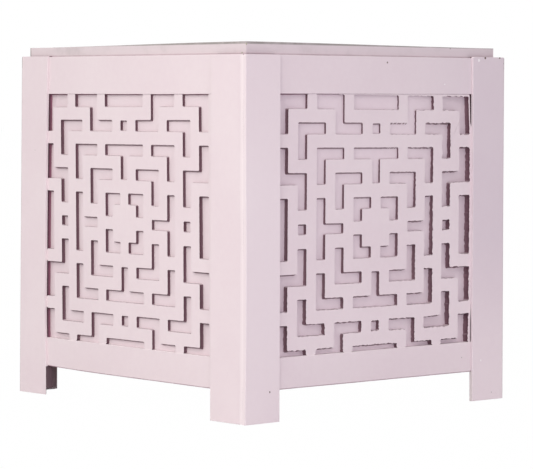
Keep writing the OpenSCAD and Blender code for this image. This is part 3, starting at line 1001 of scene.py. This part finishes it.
fretShape = {
    "slotCorner": 1.5 * mm,
    "arris": 0.5 * mm,
    "arrisSteps": 2,
    "outlineStep": 1.8 * mm,  # longest straight piece along a cut
    "taperTop": 1.8 * mm,  # how far the upper cuts lean in towards the back
    "taperFoot": 0.4 * mm,
    "ragged": 2.4 * mm,  # how far the cuts stray where they are worst
    "edgeFade": 0.3 * mm,  # no stray at the panel's own edges, within this width
    "rim": 0.9 * mm,  # depth of the light edges of the cuts
    "lastBar": 4 * mm,  # width of the front panel's bar beyond its last slots
    "lastSlot": 8 * mm,
    "lastEdge": 1.2 * mm,
    "thinFront": 0.035,  # share of paint on the cuts at the left of the front panel, which fades out
    "thinFade": (50 * mm, 120 * mm),  # between these places
    "thin": 0.01,  # and on the cuts of the other panels
    "upper": 0.5,  # share on the cuts that face upwards
    "tapered": 0.25,  # and on those that lean outwards
}
# How far the front panel's last slots and its right-hand edge stray, in mm, at a few heights, also in mm
frontSlotStray = [(70, 0.3), (110, 1.1), (270, 1.1), (325, 0), (352, -1.6)]
frontEdgeStray = [(95, 0), (112, 0.9), (312, 0.9), (322, -0.5), (327, -2.3), (355, -3.4)]
# Share of the raggedness on the left of each panel, and on its right and along its foot
raggedShare = [(0.16, 1.0), (0.12, 0.3), (0.16, 0.7), (0.10, 0.20)]
# How far the corners of each panel's pattern stray, in mm to the right and upwards: top left, top right,
# foot left, foot right
patternStray = [
    [(-0.9, 0.2), (0.2, -1.2), (-0.6, 0.3), (0.7, 0.5)],
    [(0.4, 0.2), (-0.3, 0.5), (0, -0.4), (0.4, 0)],
    [(-0.6, -0.3), (0.2, 0.2), (0.3, 0), (-0.4, 0.6)],
    [(-0.7, -0.1), (-0.1, -0.2), (1.0, 1.3), (1.1, -0.3)],
]

raggedFields = []
for fieldName, fieldSize in (("raggedAcross", 0.0032), ("raggedUp", 0.0036)):
    field = bpy.data.textures.new(fieldName, "CLOUDS")
    field.noise_scale = fieldSize
    field.noise_depth = 1
    raggedFields.append(field)


def makeFret(side):
    node = "fret_panel_" + sideNames[side]
    panel = copyNode(node, node + "_cut")
    outward = outwardOf(side)
    low, high = sideBox(side, node)

    def isUpright(edge):  # runs through the panel's thickness
        way = edge.verts[0].co - edge.verts[1].co
        return abs(way.normalized().dot(outward)) > 0.99

    def isLongOutline(edge):  # between a face of the panel and a cut
        facing = [abs(face.normal.dot(outward)) for face in edge.link_faces]
        isOutline = len(facing) == 2 and max(facing) > 0.9 and min(facing) < 0.2
        return isOutline and edge.calc_length() > fretShape["outlineStep"]

    startEdit(panel)
    pick(panel, "EDGE", isUpright)
    bpy.ops.mesh.bevel(offset=fretShape["slotCorner"], segments=3, affect="EDGES")
    while pick(panel, "EDGE", isLongOutline):
        bpy.ops.mesh.subdivide(number_cuts=1)
    shape = bmesh.from_edit_mesh(panel.data)
    for vertex in shape.verts:
        place = toSide(side, vertex.co)
        if place.y > high.y - 0.1 * mm and low.z + mm < place.z < high.z - mm:
            facing = [face.normal.z for face in vertex.link_faces]
            lean = fretShape["taperTop"] * min(0, min(facing))
            vertex.co.z += lean + fretShape["taperFoot"] * max(0, max(facing))
    bmesh.update_edit_mesh(panel.data)
    endEdit()

    corners = [Vector((x, 0, z)) * mm for x, z in patternStray[side]]
    for vertex in panel.data.vertices:
        place = toSide(side, vertex.co)
        across, up = ramp(place.x, low.x, high.x), ramp(place.z, low.z, high.z)
        shift = corners[2].lerp(corners[3], across).lerp(corners[0].lerp(corners[1], across), up)
        shift.x *= ramp(min(place.x - low.x, high.x - place.x), 0, fretShape["edgeFade"])
        shift.z *= ramp(min(place.z - low.z, high.z - place.z), 0, fretShape["edgeFade"])
        if place.z > high.z - 0.1 * mm:  # the top keeps to the rail
            shift.z += railStrayAt(topRailStray, side, vertex.co)
        vertex.co = toWorld(side, place + shift)

    ragged = panel.vertex_groups.new(name="ragged")
    smooth, rough = raggedShare[side]
    for vertex in panel.data.vertices:
        place = toSide(side, vertex.co)
        worst = max(smoothStep(place.x, -0.04, 0.12), 1 - smoothStep(place.z, 0.08, 0.18))
        inside = min(place.x - low.x, high.x - place.x, place.z - low.z, high.z - place.z)
        weight = (smooth + (rough - smooth) * worst) * smoothStep(inside, 0.2 * mm, 2 * mm)
        ragged.add([vertex.index], weight, "REPLACE")
        if place.y > high.y - 0.1 * mm:  # the back lies on the bowed wall
            vertex.co += outward * bowAt(side, place.x, place.z)
    for field, way in zip(raggedFields, ("X" if side % 2 == 0 else "Y", "Z")):
        applyModifier(panel, "DISPLACE", texture=field, texture_coords="LOCAL", direction=way,
                      strength=fretShape["ragged"], mid_level=0.5, vertex_group="ragged")
    panel.vertex_groups.clear()
    if side == 0:
        lastSlot = high.x - fretShape["lastBar"]
        for vertex in panel.data.vertices:
            place = vertex.co
            edgeStray = valueAt(frontEdgeStray, place.z / mm)
            slotStray = valueAt(frontSlotStray, place.z / mm)
            slotStray *= ramp(place.x, lastSlot - fretShape["lastSlot"], lastSlot)
            share = ramp(place.x, lastSlot, high.x - fretShape["lastEdge"])
            place.x += (slotStray + (edgeStray - slotStray) * share) * mm
    else:
        strayFrom(panel)
    roundArrises(panel, paintFret, fretShape["arris"], fretShape["arrisSteps"])

    def cutShare(face, place):  # how bare of paint the cuts are
        facing = face.normal.dot(outward)
        isDeep = toSide(side, face.center).y > low.y + fretShape["rim"]
        if facing < -0.35 or facing > (0.75 if isDeep else 0.35):
            return 0.0
        atLeft = 1 - smoothStep(place.x, *fretShape["thinFade"])
        thin = fretShape["thinFront"] * atLeft if side == 0 else fretShape["thin"]
        upper = fretShape["upper"] * smoothStep(face.normal.z, 0.3, 0.8)
        return 1.0 - thin - upper - fretShape["tapered"] * smoothStep(facing, 0.25, 0.5)

    markCorners(panel, "cut", cutShare)
    markCorners(panel, "cutDepth",
                lambda face, place: min(1, (toSide(side, place).y - low.y) / (high.y - low.y)))
    settleNormals(panel)
    finishPiece(panel, "planter", node)


for side in range(4):
    makeFret(side)
    print("fret made:", sideNames[side])


bareColours = {
    "softLight": (0.62, 0.45, 0.27, 1),
    "softDark": (0.43, 0.28, 0.14, 1),
    "legLight": (0.37, 0.265, 0.285, 1),
    "legDark": (0.27, 0.185, 0.205, 1),
}
grainWay = [(3, 60, 60), (60, 3, 60), (60, 60, 3)]  # squeezes the grain along x, y or z


def makeWood(name, light, dark, longWay):
    material, tree, shader, place = newMaterial(name)
    grain = useGroup(tree, woodGrain, Vector=stretch(tree, place, grainWay[longWay]),
                     Light=bareColours[light], Dark=bareColours[dark])
    worn = useGroup(tree, edgeWear, Vector=place, Arris=attribute(tree, "arris"), Amount=0.5)["Mask"]
    colour = blendColour(tree, worn, grain["Color"], bareColours[light])
    wireShader(tree, shader, colour, grain["Roughness"], grain["Height"], 0.3 * mm, 0.6)
    return material


softwood = [makeWood("softwood" + "XYZ"[way], "softLight", "softDark", way) for way in range(3)]
legWood = makeWood("legWood", "legLight", "legDark", 2)

woodArris = 1.0 * mm

for node in sorted(cadNodes):
    if node.startswith("leg_block_"):
        makeBoard(node, legWood, arris=woodArris)
    if node.startswith(("floor_cleat_", "floor_slat_")):
        low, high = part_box(node)
        longWay = max(range(3), key=lambda axis: (high - low)[axis])
        makeBoard(node, softwood[longWay], arris=woodArris)
print("floor, cleats and leg blocks made")


metalColours = {
    "zincLight": (0.62, 0.65, 0.67, 1),
    "zincDark": (0.40, 0.43, 0.45, 1),
    "steel": (0.50, 0.50, 0.51, 1),
    "steelDull": (0.36, 0.35, 0.34, 1),
    "yellowZinc": (0.62, 0.54, 0.34, 1),
    "yellowZincDull": (0.44, 0.37, 0.23, 1),
}

# Galvanised sheet: crystals of zinc in patches of different brightness.
zincSpangle, zincIn, zincOut = newGroup(
    "zincSpangle",
    {
        "Vector": (vectorSocket, None),
        "Light": (colourSocket, metalColours["zincLight"]),
        "Dark": (colourSocket, metalColours["zincDark"]),
    },
    {"Color": colourSocket, "Roughness": valueSocket, "Height": valueSocket},
)
crystals = addNode(zincSpangle, "TexVoronoi", {"Vector": zincIn["Vector"], "Scale": 85})
crystalTone = addNode(zincSpangle, "SeparateColor", {0: crystals.outputs["Color"]})
smears = noise(zincSpangle, zincIn["Vector"], 14, 4, 0.65)
zincMix = calc(zincSpangle, "MULTIPLY_ADD", crystalTone.outputs[0], 0.5, times(zincSpangle, smears, 0.5))
feed(zincSpangle, zincOut["Color"], blendColour(zincSpangle, zincMix, zincIn["Light"], zincIn["Dark"]))
feed(zincSpangle, zincOut["Roughness"], remap(zincSpangle, zincMix, 0.1, 0.9, 0.34, 0.58))
feed(zincSpangle, zincOut["Height"], crystals.outputs["Distance"])


def makeMetal(name, light, dark, relief):
    material, tree, shader, place = newMaterial(name)
    surface = useGroup(tree, zincSpangle, Vector=place, Light=metalColours[light], Dark=metalColours[dark])
    wireShader(tree, shader, surface["Color"], surface["Roughness"], surface["Height"], relief, 0.4)
    shader.inputs["Metallic"].default_value = 0.9
    return material


galvanised = makeMetal("galvanisedSheet", "zincLight", "zincDark", 0.15 * mm)
strapSteel = makeMetal("strapSteel", "steel", "zincDark", 0.10 * mm)
bradSteel = makeMetal("bradSteel", "steel", "steelDull", 0.05 * mm)
screwZinc = makeMetal("screwZinc", "yellowZinc", "yellowZincDull", 0.05 * mm)


def dressNode(node, material):  # a CAD node that stays gets its own finish
    piece = cadNodes[node]
    piece.data.materials.clear()
    piece.data.materials.append(material)


for node in ("post_brads", "rail_brads", "corner_nails"):
    dressNode(node, bradSteel)
for node in ("cleat_screws", "floor_screws"):
    dressNode(node, screwZinc)
dressNode("liner_pan", galvanised)
for node in ("liner_handle_left", "liner_handle_right", "liner_rivets"):
    dressNode(node, strapSteel)
print("metal parts dressed")
